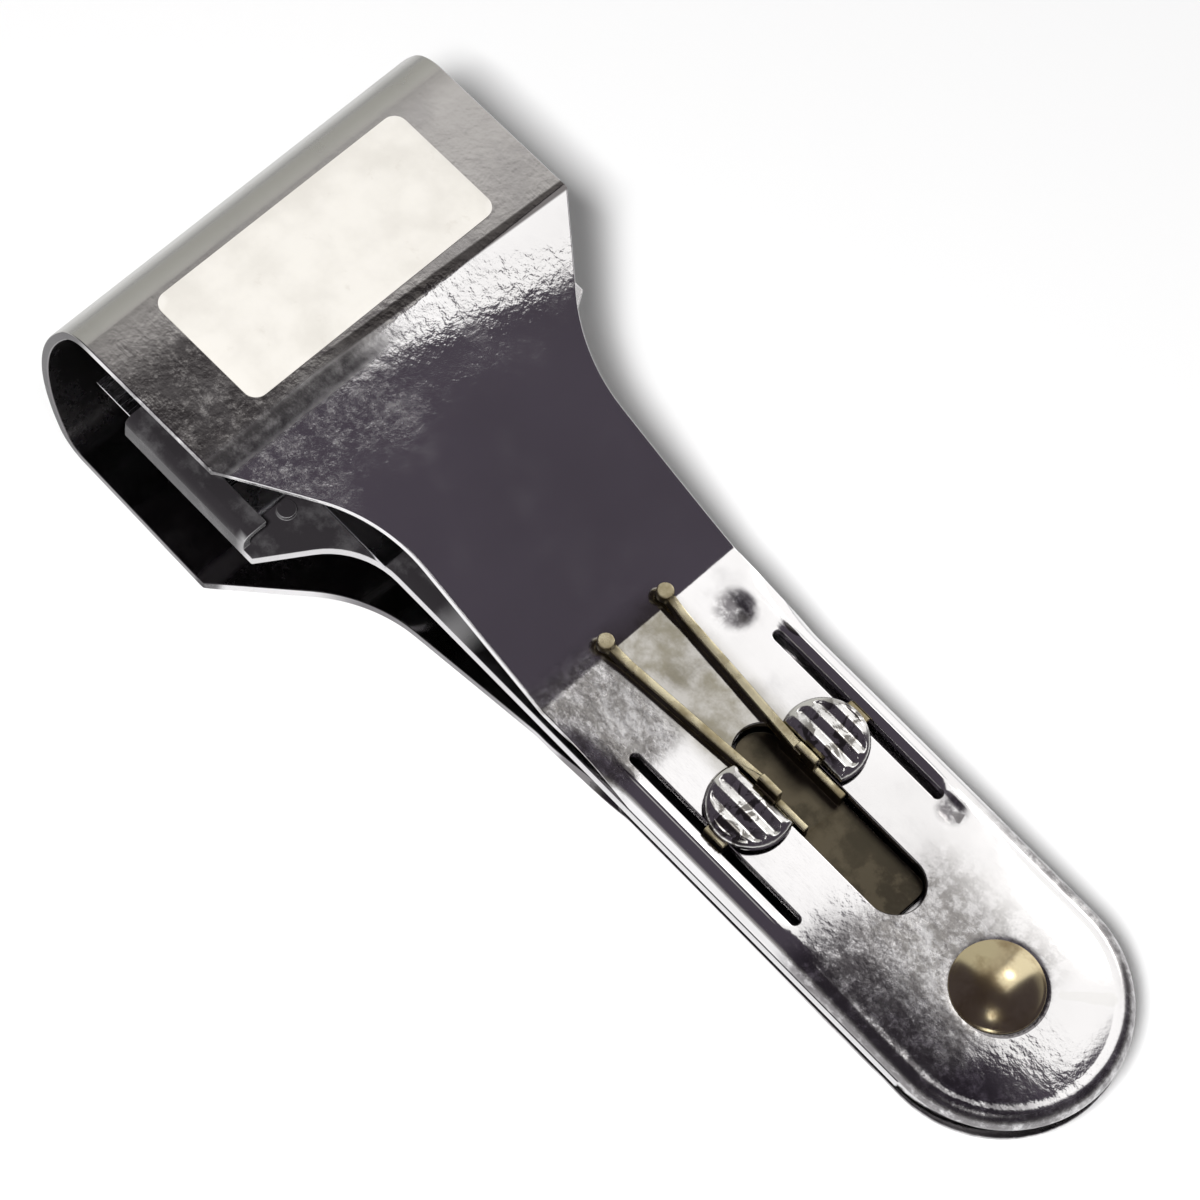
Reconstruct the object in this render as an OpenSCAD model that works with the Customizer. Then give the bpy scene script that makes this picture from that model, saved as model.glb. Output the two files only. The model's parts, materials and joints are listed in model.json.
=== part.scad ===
// Folding razor blade scraper.
// The handle is one strip of sheet steel, folded over at its wide head, and both leaves
// narrow and close up towards a round tail. A blade carrier turns on the tail rivet between
// the leaves, like the blade of a pocket knife. It is drawn stowed, with the blade inside
// the head. A brass slide on the upper leaf locks the carrier, stowed or turned out.
// X runs from the tail to the head, Y to the open side that the carrier leaves by, Z up.

/* [Handle] */
// Thickness of the handle's sheet
sheet_t = 0.9; // [0.8:0.05:1]
// Width of the wide head
head_w = 42; // [42:0.5:46]
// Width of the narrow handle
handle_w = 23.4; // [22.8:0.2:25]
// Length of the flat handle, from the rivet to the knee where the leaves start to rise
knee_x = 44; // [42:0.5:60]
// Length of the neck, from the knee to the crease, the highest line of the head
neck_l = 32.5; // [31:0.5:36]
// Length of the head, from the crease to the front of the fold
head_l = 21.9; // [21.6:0.1:28]
// How far the tail's round end is set behind the rivet
tail_set = 0.7; // [0.4:0.1:1.5]
// Half the height over the flat handle
flat_h = 2.9; // [2.9:0.05:3.2]
// Half the height over the crease, measured to the sharp corner
crease_h = 12.5; // [11.5:0.1:13.5]
// How much lower than the crease the fold's corners are
front_drop = 0.7; // [0.2:0.1:1.5]
// Outer radius of the fold's corners
corner_r = 4; // [2.4:0.1:4.4]
// Outer radius of the bowed front between the corners
bow_r = 20; // [18:0.5:40]
// Radius of the knee's and the crease's bends
bend_r = 2.4; // [1.6:0.1:3.2]
// Angle of the neck's slanted edges to the length
neck_angle = 38; // [34:1:44]
// Radius where the neck's edges run into the narrow handle
neck_r = 16; // [12:0.5:18]
// Outer radius of the rolled rim round the narrow handle
rim_r = 1.7; // [1.4:0.05:1.75]

/* [Pivot] */
// Radius of the rivet's shank
rivet_r = 2; // [1.8:0.05:2.3]
// Radius of the rivet's domed head
rivet_head_r = 4.3; // [4:0.1:4.5]
// Height of the rivet's domed head
rivet_head_h = 1.9; // [1.5:0.1:2.2]
// Radius of the rivet's clenched end
rivet_end_r = 3.2; // [2.8:0.1:3.8]
// Radius at the rim of the dish that the rivet's head sits in
dish_r = 5; // [4.9:0.1:5.6]
// Depth of that dish
dish_h = 0.6; // [0.5:0.05:0.7]
// Radius of the lower washer
washer_r = 5.2; // [4:0.1:5.4]

/* [Carrier] */
// Thickness of the carrier's plate
carrier_t = 1.2; // [1:0.05:1.25]
// How far behind the crease the carrier's head starts
carrier_set = 4.7; // [3.6:0.1:5.4]
// Angle of the carrier's neck edges to the length
carrier_angle = 58; // [50:1:65]
// Radius where those edges run into the arm
carrier_neck_r = 8; // [5:0.5:10]
// Thickness of the folded channels that hold the blade's ends
channel_t = 0.9; // [0.7:0.05:1]
// How far the channels' lips reach over the blade
lip_w = 1.8; // [1.2:0.1:2.6]
// Radius of the notched plate that the slide locks in
index_r = 10.2; // [9.9:0.1:10.4]
// How far the slide's nose enters the notch
lock_travel = 4; // [3:0.1:4.1]

/* [Blade] */
// Length of the cutting edge
blade_w = 38.1; // [37:0.1:38.2]
// From the blade's back to its cutting edge
blade_d = 19.05; // [18:0.05:19.5]
// Thickness of the blade
blade_t = 0.23; // [0.2:0.01:0.3]
// Width of the bevel ground on each face
bevel_w = 0.9; // [0.6:0.1:1.4]
// Depth of the folded spine on the blade's back
spine_d = 3.6; // [3:0.1:4]
// Thickness over the spine
spine_t = 1.06; // [0.9:0.02:1.16]

/* [Lock slide] */
// Thickness of the slide's brass
slide_t = 0.7; // [0.6:0.05:0.75]
// Width of the slot that the slide runs in
slot_w = 5.6; // [5.2:0.1:6]
// From the rivet to the slot's rear end
slot_x = 9.7; // [9.2:0.1:10.2]
// From the rivet to the middle of the thumb pads
pad_x = 25.7; // [25:0.1:26.5]
// Radius of the round thumb pads
pad_r = 4; // [3.4:0.1:4.1]
// Height of the thumb pads
pad_h = 1; // [0.8:0.05:1.3]
// How far the tips of the slide's two prongs reach past the knee
prong_reach = 1.6; // [-1:0.1:2]
// Distance between the middles of the prongs at their tips
prong_gap = 7.2; // [6.6:0.1:8]
// Height of the prongs over the handle
prong_h = 1.1; // [0.9:0.05:1.4]
// Distance between the middles of the two side slits
slit_gap = 17.4; // [17.2:0.1:17.6]
// Length of the side slits
slit_l = 20.6; // [18:0.2:21]
// Width of the side slits
slit_w = 1; // [0.9:0.05:1.1]

/* [Label] */
// Width of the bare label
label_w = 28.8; // [20:0.2:34]
// Length of the bare label
label_l = 13.2; // [8:0.2:13.2]
// How far the label sits off the middle, on the side away from the carrier's turn
label_shift = 0.5; // [0:0.1:3]
// Radius of the label's corners
label_r = 1.3; // [0.5:0.1:2]

/* [Hidden] */
$fn = 64;
over = 1;             // how far cuts run past what they cut
fit_gap = 0.05;       // between a shaft and its bore, and between faces that turn on each other
slip_gap = 0.2;       // between faces that slide past each other

// Profile of the upper leaf, in X and Z
crease_x = knee_x + neck_l;
front_x = crease_x + head_l;
neck_rise = atan2(crease_h - flat_h, crease_x - knee_x);
bow_x = front_x - bow_r;
corner_z = crease_h - front_drop - corner_r;
bow_angle = asin(corner_z / (bow_r - corner_r));
corner_x = bow_x + (bow_r - corner_r) * cos(bow_angle);
crease_reach = norm([corner_x - crease_x, crease_h - corner_z]);
fold_angle = atan2(crease_h - corner_z, crease_x - corner_x) - acos(corner_r / crease_reach);
plate_fall = 90 - fold_angle;
crease_turn = neck_rise + plate_fall;
bend_steps = 8;
// Middle of the knee's bend, above the leaf, and of the crease's bend, below it
knee_c = [knee_x - bend_r * tan(neck_rise / 2), flat_h + bend_r];
crease_c = [crease_x, crease_h] - bend_r * tan(crease_turn / 2) * [cos(neck_rise), sin(neck_rise)]
           + bend_r * [sin(neck_rise), -cos(neck_rise)];
top_z = crease_c[1] + bend_r;

// The narrow handle
handle_r = handle_w / 2;
tail_x = -tail_set - handle_r;
rim_gap = carrier_t / 2 + 2 * slip_gap;
rim_front_x = knee_x - 2 * bend_r;
rim_slope = 2 * (flat_h - rim_gap);

// The part's own frame: the origin is at the middle of the base of its box
mid_x = (front_x + tail_x) / 2;

// Heights in the stack at the pivot, from the mid-plane up
dish_z = flat_h - dish_h;
dish_in_z = dish_z - sheet_t;
arm_z = carrier_t / 2;
index_t = dish_in_z - fit_gap - arm_z;
dish_slope = dish_h / 2;

// The carrier
carrier_x = crease_x - carrier_set;
arm_r = handle_r - fit_gap;
arm_tail_r = handle_r - slip_gap;
channel_y = blade_w / 2 + slip_gap / 2;
carrier_r = channel_y + channel_t;
blade_x = carrier_x + 2 * carrier_t;
edge_reach = 4.8;     // from the channels' front ends to the cutting edge
carrier_front_x = blade_x + blade_d - edge_reach;
spine_z = arm_z + spine_t / 2;
channel_in_h = spine_t + slip_gap / 2;
channel_h = carrier_t + channel_in_h + channel_t;
channel_r = channel_t + slip_gap;
stop_r = 0.9;
stop_x = 7.4;
stop_slot_r = stop_r + slip_gap;

// The blade keeper, a spring plate over the spine
keeper_t = 0.5;
keeper_w = 24;
keeper_l = 10.7;      // from its rear edge to the blade's back
keeper_x = blade_x - keeper_l;
keeper_margin = 3.5;   // from that edge to the rivets
keeper_rivet_x = keeper_x + keeper_margin;
keeper_rivet_y = 7;
keeper_rivet_r = 1.1;
keeper_head_r = 2;
keeper_head_h = 0.7;
keeper_reach = 7;
keeper_front_x = blade_x + spine_d + keeper_reach;

// The bosses that stop the blade's spine, one on each side of the keeper
blade_stop_r = 0.9;
blade_stop_y = keeper_w / 2 + 3 * blade_stop_r;

// The slide: a channel that runs in the slot, two prongs in front and wings at its sides
channel_clear_z = arm_z + slip_gap;
slide_out = slot_w / 2 - slip_gap;
nose_x = index_r + slip_gap;
notch_x = nose_x - lock_travel - slip_gap;
slot_front_share = 1.4;  // of a pad's radius: from the pad's middle to the slot's end
slot_front_x = pad_x + slot_front_share * pad_r;
wall_rear_x = pad_x - pad_r - slide_t;
floor_front_x = slot_front_x - slot_w / 2;
leaf_clear_z = flat_h + fit_gap;
wing_share = 0.6;     // of a pad's radius: the length of each wing, which the pad hides
wing_l = wing_share * pad_r;
wing_t = slide_t - slip_gap;
slit_y = slit_gap / 2;
tab_t = slit_w - 2 * slip_gap;
hook_z = flat_h - sheet_t - slip_gap / 2;
hook_w = 2 * slit_w;
slit_x = pad_x - slit_l / 2 - fit_gap;
prong_t = 0.85;
prong_x = knee_x + prong_reach;
prong_tip_r = 0.8;
prong_root_x = pad_x + wing_l / 2 - prong_t;
pad_cut_y = slide_out + 1.5 * slip_gap;
pad_y = slide_out + pad_r / 2;
nose_corner_r = 2 * slide_t;
pad_z = leaf_clear_z + wing_t;
rib_share = 0.22;     // of a pad's radius: the width of each groove
pad_wall_z = pad_z + pad_h + slip_gap;
bead_r = 0.35;

label_t = 0.15;
label_edge = 2.4;     // from the crease to the label

function arc(c, r, from, to) =
    [for (i = [0:bend_steps]) c + r * [cos(from + (to - from) * i / bend_steps),
                                       sin(from + (to - from) * i / bend_steps)]];

// The half of the profile above the mid-plane, moved in from the outer face by inset
module leaf_region(inset) {
    polygon(concat(
        [[tail_x - over, 0], [tail_x - over, flat_h - inset]],
        arc(knee_c, bend_r + inset, -90, -90 + neck_rise),
        arc(crease_c, bend_r - inset, 90 + neck_rise, 90 - plate_fall),
        [[corner_x, corner_z] + (corner_r - inset) * [cos(fold_angle), sin(fold_angle)],
         [corner_x, corner_z], [corner_x, 0]]));
    translate([corner_x, corner_z]) circle(corner_r - inset, $fn = 96);
}

// The whole profile, from below the lower leaf to above the upper one, with its bowed front
module profile_region(inset) {
    leaf_region(inset);
    mirror([0, 1]) leaf_region(inset);
    translate([bow_x, 0]) intersection() {
        circle(bow_r - inset, $fn = 192);
        polygon([[0, 0], 2 * bow_r * [cos(bow_angle), -sin(bow_angle)],
                 2 * bow_r * [cos(bow_angle), sin(bow_angle)]]);
    }
}

// Moves a shape drawn in X and Z into place and gives it a width along Y
module along_y(w) {
    rotate([90, 0, 0]) translate([0, 0, -w / 2]) linear_extrude(w) children();
}

// Moves a shape drawn in Y and Z into place and gives it a length along X
module along_x(from, to) {
    translate([from, 0, 0]) rotate([90, 0, 90]) linear_extrude(to - from) children();
}

// Outline, in X and Y, of a strip that widens to a head: slanted edges, then a round
module flared_plan(narrow, wide, flare_x, angle, round_r, end_x) {
    foot_x = flare_x - (wide - narrow) / tan(angle);
    reach = round_r * tan(angle / 2);
    translate([0, -narrow]) square([foot_x, 2 * narrow]);
    translate([flare_x, -wide]) square([end_x - flare_x, 2 * wide]);
    polygon([[foot_x, -narrow], [flare_x, -wide], [flare_x, wide], [foot_x, narrow]]);
    for (side = [0, 1]) mirror([0, side]) difference() {
        polygon([[foot_x - reach, narrow - over], [foot_x - reach, narrow],
                 [foot_x + reach * cos(angle), narrow + reach * sin(angle)],
                 [foot_x + reach * cos(angle), narrow - over]]);
        translate([foot_x - reach, narrow + round_r]) circle(round_r, $fn = 96);
    }
}

// Half of the narrow handle's cross-section, in Y and Z, moved in by inset
module rim_half(inset, low) {
    w = handle_r - inset;
    h = flat_h - inset;
    r = rim_r - inset;
    translate([0, low]) square([w - r, h - low]);
    translate([0, low]) square([w, h - r - low]);
    intersection() {
        translate([w - r, h - r]) circle(r);
        translate([0, low]) square([w, h - low]);
    }
}

// The narrow handle as a filled pan with a rolled edge and a round tail
module pan(inset, low) {
    along_x(-tail_set, rim_front_x) {
        rim_half(inset, low);
        mirror([1, 0]) rim_half(inset, low);
    }
    translate([-tail_set, 0, 0]) rotate([0, 0, 90]) rotate_extrude(angle = 180)
        rim_half(inset, low);
}

// The upper leaf's narrow part, its rim run out on a slope towards the knee
module narrow_leaf() {
    difference() {
        pan(0, rim_gap);
        pan(sheet_t, rim_gap - over);
        along_y(head_w) polygon([
            [rim_front_x - rim_slope, rim_gap - over], [rim_front_x - rim_slope, rim_gap],
            [rim_front_x, flat_h - sheet_t], [rim_front_x + over, flat_h - sheet_t],
            [rim_front_x + over, rim_gap - over]]);
    }
}

// The shallow dish round the rivet: what it takes off above the leaf or adds below it
module dish(z, h) {
    translate([0, 0, z]) cylinder(h = h, r1 = dish_r - dish_slope, r2 = dish_r);
}

// A slot with round ends, in X and Y, from one x to another
module round_slot(from, to, w) {
    translate([from + w / 2, -w / 2]) square([to - from - w, w]);
    for (x = [from + w / 2, to - w / 2]) translate([x, 0]) circle(w / 2);
}

// Everything of one leaf that is flat and narrow, with its dish and rivet hole
module dished_leaf() {
    difference() {
        union() {
            narrow_leaf();
            dish(dish_in_z, dish_h);
        }
        dish(dish_z, dish_h);
        translate([0, 0, dish_z]) cylinder(h = over + dish_h, r = dish_r - dish_slope);
        translate([0, 0, dish_in_z - over])
            cylinder(h = sheet_t + 2 * over, r = rivet_r + fit_gap);
    }
}

// The bead that stiffens the outer edge of each side slit
module slit_bead() {
    translate([slit_x, slit_y + slit_w / 2 + bead_r, flat_h])
        rotate([0, 90, 0]) cylinder(h = slit_l, r = bead_r);
}

// Puts a piece from the pivot's own axes into the part's frame
module seat() {
    translate([-mid_x, 0, top_z]) children();
}

module handle_shell() {
    color("silver") seat() {
        difference() {
            union() {
                // The knee, the neck and the folded head
                intersection() {
                    along_y(head_w) difference() {
                        profile_region(0);
                        profile_region(sheet_t);
                    }
                    translate([0, 0, -crease_h]) linear_extrude(2 * crease_h)
                        intersection() {
                            flared_plan(handle_r, head_w / 2, crease_x, neck_angle, neck_r,
                                        front_x + over);
                            translate([rim_front_x - over, -head_w])
                                square([front_x, 2 * head_w]);
                        }
                }
                dished_leaf();
                mirror([0, 0, 1]) dished_leaf();
                for (side = [0, 1]) mirror([0, side, 0]) slit_bead();
            }
            // The slot, and a slit on each side of it, through the upper leaf
            translate([0, 0, rim_gap]) linear_extrude(flat_h) {
                round_slot(slot_x, slot_front_x, slot_w);
                for (y = [-slit_y, slit_y])
                    translate([0, y]) round_slot(slit_x, slit_x + slit_l, slit_w);
            }
        }
        // The dimple in the lower leaf that stops the carrier at both ends of its turn
        translate([0, -stop_x, -flat_h + sheet_t / 2])
            cylinder(h = flat_h - sheet_t / 2 - slip_gap, r = stop_r);
    }
}

module label() {
    color("linen") seat()
        translate([crease_x, -label_shift, crease_h]) rotate([0, plate_fall, 0])
            translate([label_edge, 0, 0]) linear_extrude(label_t) {
                translate([0, -label_w / 2 + label_r])
                    square([label_l, label_w - 2 * label_r]);
                translate([label_r, -label_w / 2]) square([label_l - 2 * label_r, label_w]);
                for (x = [label_r, label_l - label_r], y = [-1, 1])
                    translate([x, y * (label_w / 2 - label_r)]) circle(label_r);
            }
}

// The head is a cap of a sphere, and the other end is clenched over the lower leaf
module pivot_rivet() {
    cap_r = (rivet_head_r * rivet_head_r + rivet_head_h * rivet_head_h) / (2 * rivet_head_h);
    color("goldenrod") seat() {
        translate([0, 0, dish_z]) intersection() {
            translate([0, 0, rivet_head_h - cap_r]) sphere(cap_r, $fn = 96);
            cylinder(h = rivet_head_h, r = rivet_head_r);
        }
        translate([0, 0, -dish_z]) cylinder(h = 2 * dish_z, r = rivet_r);
        translate([0, 0, -dish_z - dish_h])
            cylinder(h = dish_h, r1 = rivet_end_r - dish_slope, r2 = rivet_end_r);
    }
}

module pivot_washer() {
    color("gray") seat() translate([0, 0, -dish_in_z]) difference() {
        cylinder(h = index_t, r = washer_r - dish_slope);
        translate([0, 0, -over]) cylinder(h = index_t + 2 * over, r = rivet_r + fit_gap);
    }
}

// A channel folded up along one side of the carrier's head, seen along X
module channel_half() {
    difference() {
        union() {
            translate([carrier_r - lip_w - channel_t, -arm_z])
                square([lip_w + channel_t, channel_h - channel_r]);
            translate([carrier_r - lip_w - channel_t, -arm_z])
                square([lip_w + channel_t - channel_r, channel_h]);
            translate([carrier_r - channel_r, channel_h - arm_z - channel_r])
                circle(channel_r);
        }
        translate([carrier_r - lip_w - channel_t - over, arm_z])
            square([lip_w + over, channel_in_h]);
    }
}

module blade_carrier() {
    color("lightgray") seat() {
        difference() {
            union() {
                translate([0, 0, -arm_z]) linear_extrude(carrier_t) {
                    flared_plan(arm_r, carrier_r, carrier_x, carrier_angle, carrier_neck_r,
                                carrier_front_x);
                    circle(arm_tail_r);
                }
                for (side = [0, 1]) mirror([0, side, 0])
                    along_x(blade_x - carrier_t, carrier_front_x) channel_half();
                // Two bosses that the blade's spine is pushed back against
                for (y = [-blade_stop_y, blade_stop_y])
                    translate([blade_x - blade_stop_r - fit_gap, y, 0])
                        cylinder(h = arm_z + spine_t / 2, r = blade_stop_r);
            }
            translate([0, 0, -over]) cylinder(h = 2 * over, r = rivet_r + fit_gap);
            for (y = [-keeper_rivet_y, keeper_rivet_y])
                translate([keeper_rivet_x, y, -over])
                    cylinder(h = 2 * over, r = keeper_rivet_r);
            // The half-round slot that the handle's dimple runs in
            translate([0, 0, -over]) {
                rotate([0, 0, 90]) rotate_extrude(angle = 180)
                    translate([stop_x - stop_slot_r, 0]) square([2 * stop_slot_r, 2 * over]);
                for (y = [-stop_x, stop_x])
                    translate([0, y, 0]) cylinder(h = 2 * over, r = stop_slot_r);
            }
        }
    }
}

// Fixed on the carrier, with a notch for the slide's nose at each end of the turn
module index_plate() {
    color("darkgray") seat() translate([0, 0, arm_z]) linear_extrude(index_t) difference() {
        circle(index_r);
        circle(rivet_r + fit_gap);
        for (side = [0, 1]) mirror([side, 0])
            translate([notch_x, -slot_w / 2]) square([index_r, slot_w]);
    }
}

// A spring plate, riveted behind the blade, that steps over the spine and presses on the blade
module blade_keeper() {
    low = arm_z;
    high = arm_z + spine_t + fit_gap;
    press = spine_z + blade_t / 2;
    step_x = blade_x - 3 * keeper_t;
    drop_x = blade_x + spine_d + keeper_t;
    color("gainsboro") seat() difference() {
        along_y(keeper_w) polygon([
            [keeper_x, low], [step_x - 2 * keeper_t, low], [step_x, high],
            [drop_x, high], [drop_x + 2 * keeper_t, press], [keeper_front_x, press],
            [keeper_front_x + keeper_t, press + keeper_t],
            [keeper_front_x, press + keeper_t], [drop_x + 2.5 * keeper_t, press + keeper_t],
            [drop_x + keeper_t, high + keeper_t], [step_x - keeper_t, high + keeper_t],
            [step_x - 3 * keeper_t, low + keeper_t], [keeper_x, low + keeper_t]]);
        for (y = [-keeper_rivet_y, keeper_rivet_y])
            translate([keeper_rivet_x, y, 0]) cylinder(h = channel_h, r = keeper_rivet_r);
    }
}

module keeper_rivets() {
    color("silver") seat() for (y = [-keeper_rivet_y, keeper_rivet_y])
        translate([keeper_rivet_x, y, 0]) {
            translate([0, 0, -arm_z]) cylinder(h = carrier_t + keeper_t, r = keeper_rivet_r);
            translate([0, 0, arm_z + keeper_t])
                cylinder(h = keeper_head_h, r1 = keeper_head_r, r2 = keeper_rivet_r);
            translate([0, 0, -arm_z - keeper_head_h / 2])
                cylinder(h = keeper_head_h / 2, r = keeper_head_r - slip_gap);
        }
}

// The blade, ground to an edge in front and notched at its ends beside the spine
module razor_blade() {
    half = blade_t / 2;
    edge = blade_t / 10;
    front = blade_x + blade_d;
    notch_r = spine_d / 4;
    color("whitesmoke") seat() difference() {
        translate([0, 0, spine_z]) along_y(blade_w) polygon([
            [blade_x + spine_t / 2, -half], [front - bevel_w, -half], [front, -edge / 2],
            [front, edge / 2], [front - bevel_w, half], [blade_x + spine_t / 2, half]]);
        for (y = [-blade_w / 2, blade_w / 2])
            translate([blade_x + spine_d + notch_r, y, 0]) cylinder(h = channel_h, r = notch_r);
    }
}

// The spine: a strip folded over the blade's back
module blade_spine() {
    color("lightsteelblue") seat() translate([0, 0, spine_z]) along_y(blade_w) difference() {
        union() {
            translate([blade_x + spine_t / 2, 0]) circle(spine_t / 2);
            translate([blade_x + spine_t / 2, -spine_t / 2])
                square([spine_d - spine_t / 2, spine_t]);
        }
        translate([blade_x + spine_t / 2, -blade_t / 2]) square([spine_d, blade_t]);
    }
}

// One prong on the leaf, from the slide's wall to a round tip that is turned up over the knee
module prong() {
    length = prong_x - prong_tip_r - prong_root_x;
    flat_l = knee_c[0] - prong_tip_r - prong_root_x;
    rise = max(0, prong_reach + slip_gap) * tan(neck_rise) + fit_gap;
    start_y = slide_out - prong_t / 2;
    turn = atan2(prong_gap / 2 - start_y, length);
    translate([prong_root_x, start_y, leaf_clear_z]) rotate([0, 0, turn]) {
        along_y(prong_t) polygon([[0, 0], [flat_l, 0], [length, rise], [length, rise + prong_h],
                                  [flat_l - prong_t, prong_h], [0, prong_h]]);
        translate([length, 0, rise]) cylinder(h = prong_h, r = prong_tip_r);
    }
}

// One side of the slide: its wall, its wing, the tab through the slit and the hook below
module slide_side() {
    wall = slide_out - slide_t;
    translate([wall_rear_x, wall, channel_clear_z])
        cube([floor_front_x - wall_rear_x, slide_t,
              leaf_clear_z + slip_gap - channel_clear_z]);
    translate([pad_x - wing_l / 2, wall, channel_clear_z])
        cube([wing_l, slide_t, pad_wall_z - channel_clear_z]);
    translate([pad_x - wing_l / 2, wall, leaf_clear_z])
        cube([wing_l, slit_y + tab_t / 2 - wall, wing_t]);
    translate([pad_x - wing_l / 2, slit_y - tab_t / 2, hook_z - wing_t])
        cube([wing_l, tab_t, leaf_clear_z + wing_t - hook_z + wing_t]);
    translate([pad_x - wing_l / 2, slit_y + tab_t / 2 - hook_w, hook_z - wing_t])
        cube([wing_l, hook_w, wing_t]);
    prong();
}

// The slide's rear end, in X and Y, with round corners
module round_nose() {
    translate([nose_x + nose_corner_r, -slide_out])
        square([wall_rear_x + over - nose_x - nose_corner_r, 2 * slide_out]);
    translate([nose_x, -slide_out + nose_corner_r])
        square([2 * nose_corner_r, 2 * (slide_out - nose_corner_r)]);
    for (side = [-1, 1])
        translate([nose_x + nose_corner_r, side * (slide_out - nose_corner_r)])
            circle(nose_corner_r);
}

module lock_slide() {
    color("darkgoldenrod") seat() {
        for (side = [0, 1]) mirror([0, side, 0]) slide_side();
        // The floor, seen through the slot, with a round front end and the nose behind
        translate([0, 0, channel_clear_z]) linear_extrude(slide_t) {
            translate([wall_rear_x, -slide_out])
                square([floor_front_x - wall_rear_x, 2 * slide_out]);
            translate([floor_front_x, 0]) circle(slide_out);
            round_nose();
        }
    }
}

// A round pad with grooves along the slide, cut straight where the slide's wall stands
module thumb_pad() {
    groove = rib_share * pad_r;
    difference() {
        intersection() {
            translate([pad_x, pad_y, pad_z]) cylinder(h = pad_h, r1 = pad_r,
                                                      r2 = pad_r - pad_h / 4);
            translate([pad_x - pad_r, pad_cut_y, pad_z]) cube([2 * pad_r, 2 * pad_r, pad_h]);
        }
        for (i = [-1:1])
            translate([pad_x - pad_r, pad_y + pad_r / 4 + 2 * i * groove - groove / 2,
                       pad_z + pad_h - groove / 2])
                cube([2 * pad_r, groove, pad_h]);
    }
}

module thumb_pad_left() {
    color("silver") seat() thumb_pad();
}

module thumb_pad_right() {
    color("silver") seat() mirror([0, 1, 0]) thumb_pad();
}

handle_shell();
label();
pivot_rivet();
pivot_washer();
blade_carrier();
index_plate();
blade_keeper();
keeper_rivets();
razor_blade();
blade_spine();
lock_slide();
thumb_pad_left();
thumb_pad_right();
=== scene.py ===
"""Looks of a folding razor blade scraper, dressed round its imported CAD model.

Shapes are worked out in millimetres about the rivet's axis: X to the head, Y to the open
side that the carrier leaves by, Z up from the middle plane between the two leaves.
"""

import json
import math

import bmesh
import bpy
import numpy as np
from mathutils import Matrix, Vector, geometry

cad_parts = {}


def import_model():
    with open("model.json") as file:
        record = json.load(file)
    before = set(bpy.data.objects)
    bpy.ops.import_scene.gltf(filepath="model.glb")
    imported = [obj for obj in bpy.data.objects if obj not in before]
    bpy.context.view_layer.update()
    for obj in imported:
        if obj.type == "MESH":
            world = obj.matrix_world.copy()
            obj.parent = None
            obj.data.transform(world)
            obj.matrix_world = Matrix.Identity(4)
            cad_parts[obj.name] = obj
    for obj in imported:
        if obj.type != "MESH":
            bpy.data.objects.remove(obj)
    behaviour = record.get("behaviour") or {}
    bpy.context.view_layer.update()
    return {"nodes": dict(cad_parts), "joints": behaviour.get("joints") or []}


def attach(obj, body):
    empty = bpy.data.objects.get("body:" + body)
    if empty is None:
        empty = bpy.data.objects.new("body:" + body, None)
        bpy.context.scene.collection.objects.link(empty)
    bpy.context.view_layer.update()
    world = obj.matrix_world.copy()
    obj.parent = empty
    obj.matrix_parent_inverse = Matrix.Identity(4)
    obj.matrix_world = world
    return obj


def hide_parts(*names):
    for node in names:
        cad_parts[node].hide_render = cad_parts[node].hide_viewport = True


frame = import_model()

MM = 0.001
PIVOT = Vector(next(j["pos_m"] for j in frame["joints"] if j["name"] == "carrier_pivot"))

# The handle's sheet, in millimetres
SHEET = 0.9
HANDLE_R = 11.7            # half the width of the narrow handle
HEAD_R = 21.0              # half the width of the head
FLAT_H = 2.9               # the flat handle's top over the middle plane
KNEE_X = 44.0
CREASE_X = 76.5
CREASE_H = 12.5
FRONT_X = 98.4
FRONT_DROP = 0.7           # from the crease down to the fold's corners
CORNER_R = 4.0             # at the fold's corners
BOW_R = 20.0               # at the bowed front between them
BEND_R = 2.4               # at the knee and at the crease
LOW_BEND_R = 7.0           # at the lower crease, which is worn round
NECK_ANGLE = 38.0
NECK_R = 16.0
TAIL_SET = 0.7
RIM_R = 1.7
RIM_GAP = 1.0              # from the middle plane to the rolled rim's lower edge
ROLL_FROM, ROLL_TO = 33.0, 43.5    # the rolled rim runs out between these places
SWELL_L, SWELL_FADE = 5.6, 5.0     # the neck's flatter stretch behind the crease
SWELL_SLOPE = 0.115
SWELL_END, SWELL_OUT = 7.0, 22.0   # behind here it runs out, over this length
SIDE_FALL_Y, SIDE_FALL = 9.6, 0.45      # the flat top falls away from here, per mm squared
TAIL_FALL_R, TAIL_FALL = 4.0, 0.013     # and from here round the tail
TAIL_FALL_X, TAIL_FALL_L = 1.0, 16.0    # the one gives way to the other over this length

# What is cut and pressed into the upper leaf
SLOT_X, SLOT_FRONT_X, SLOT_W = 9.7, 31.3, 5.6
PAD_X, PAD_R, PAD_H = 25.7, 4.0, 1.0
PAD_EDGE, PAD_EDGE_H = 0.55, 0.495         # how far in and down a pad's edge is rounded
PAD_CROWN = 0.012                          # its top's fall, per mm squared
RIB_PITCH, RIB_H, RIB_Y = 1.72, 0.14, 1.0  # the pads' ribs, one this far from the middle
RIB_DROP = 0.16                            # from a pad's height to its ribs' middle
RIB_IN, RIB_RUN = 0.45, 0.35               # the ribs run out this far inside its edge
SLIT_Y, SLIT_L, SLIT_W = 8.7, 20.6, 1.0
LIP_H, LIP_TOP, LIP_W = 0.28, 0.85, 0.35   # a lip's height, slope inside and slope outside
LIP_FOOT, LIP_PAST, LIP_RUN = 0.2, 1.0, 3.5     # into the slit, past its ends and run out
DISH_R, DISH_H = 5.1, 0.6
DISH_FLOOR_R = 3.2
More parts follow.
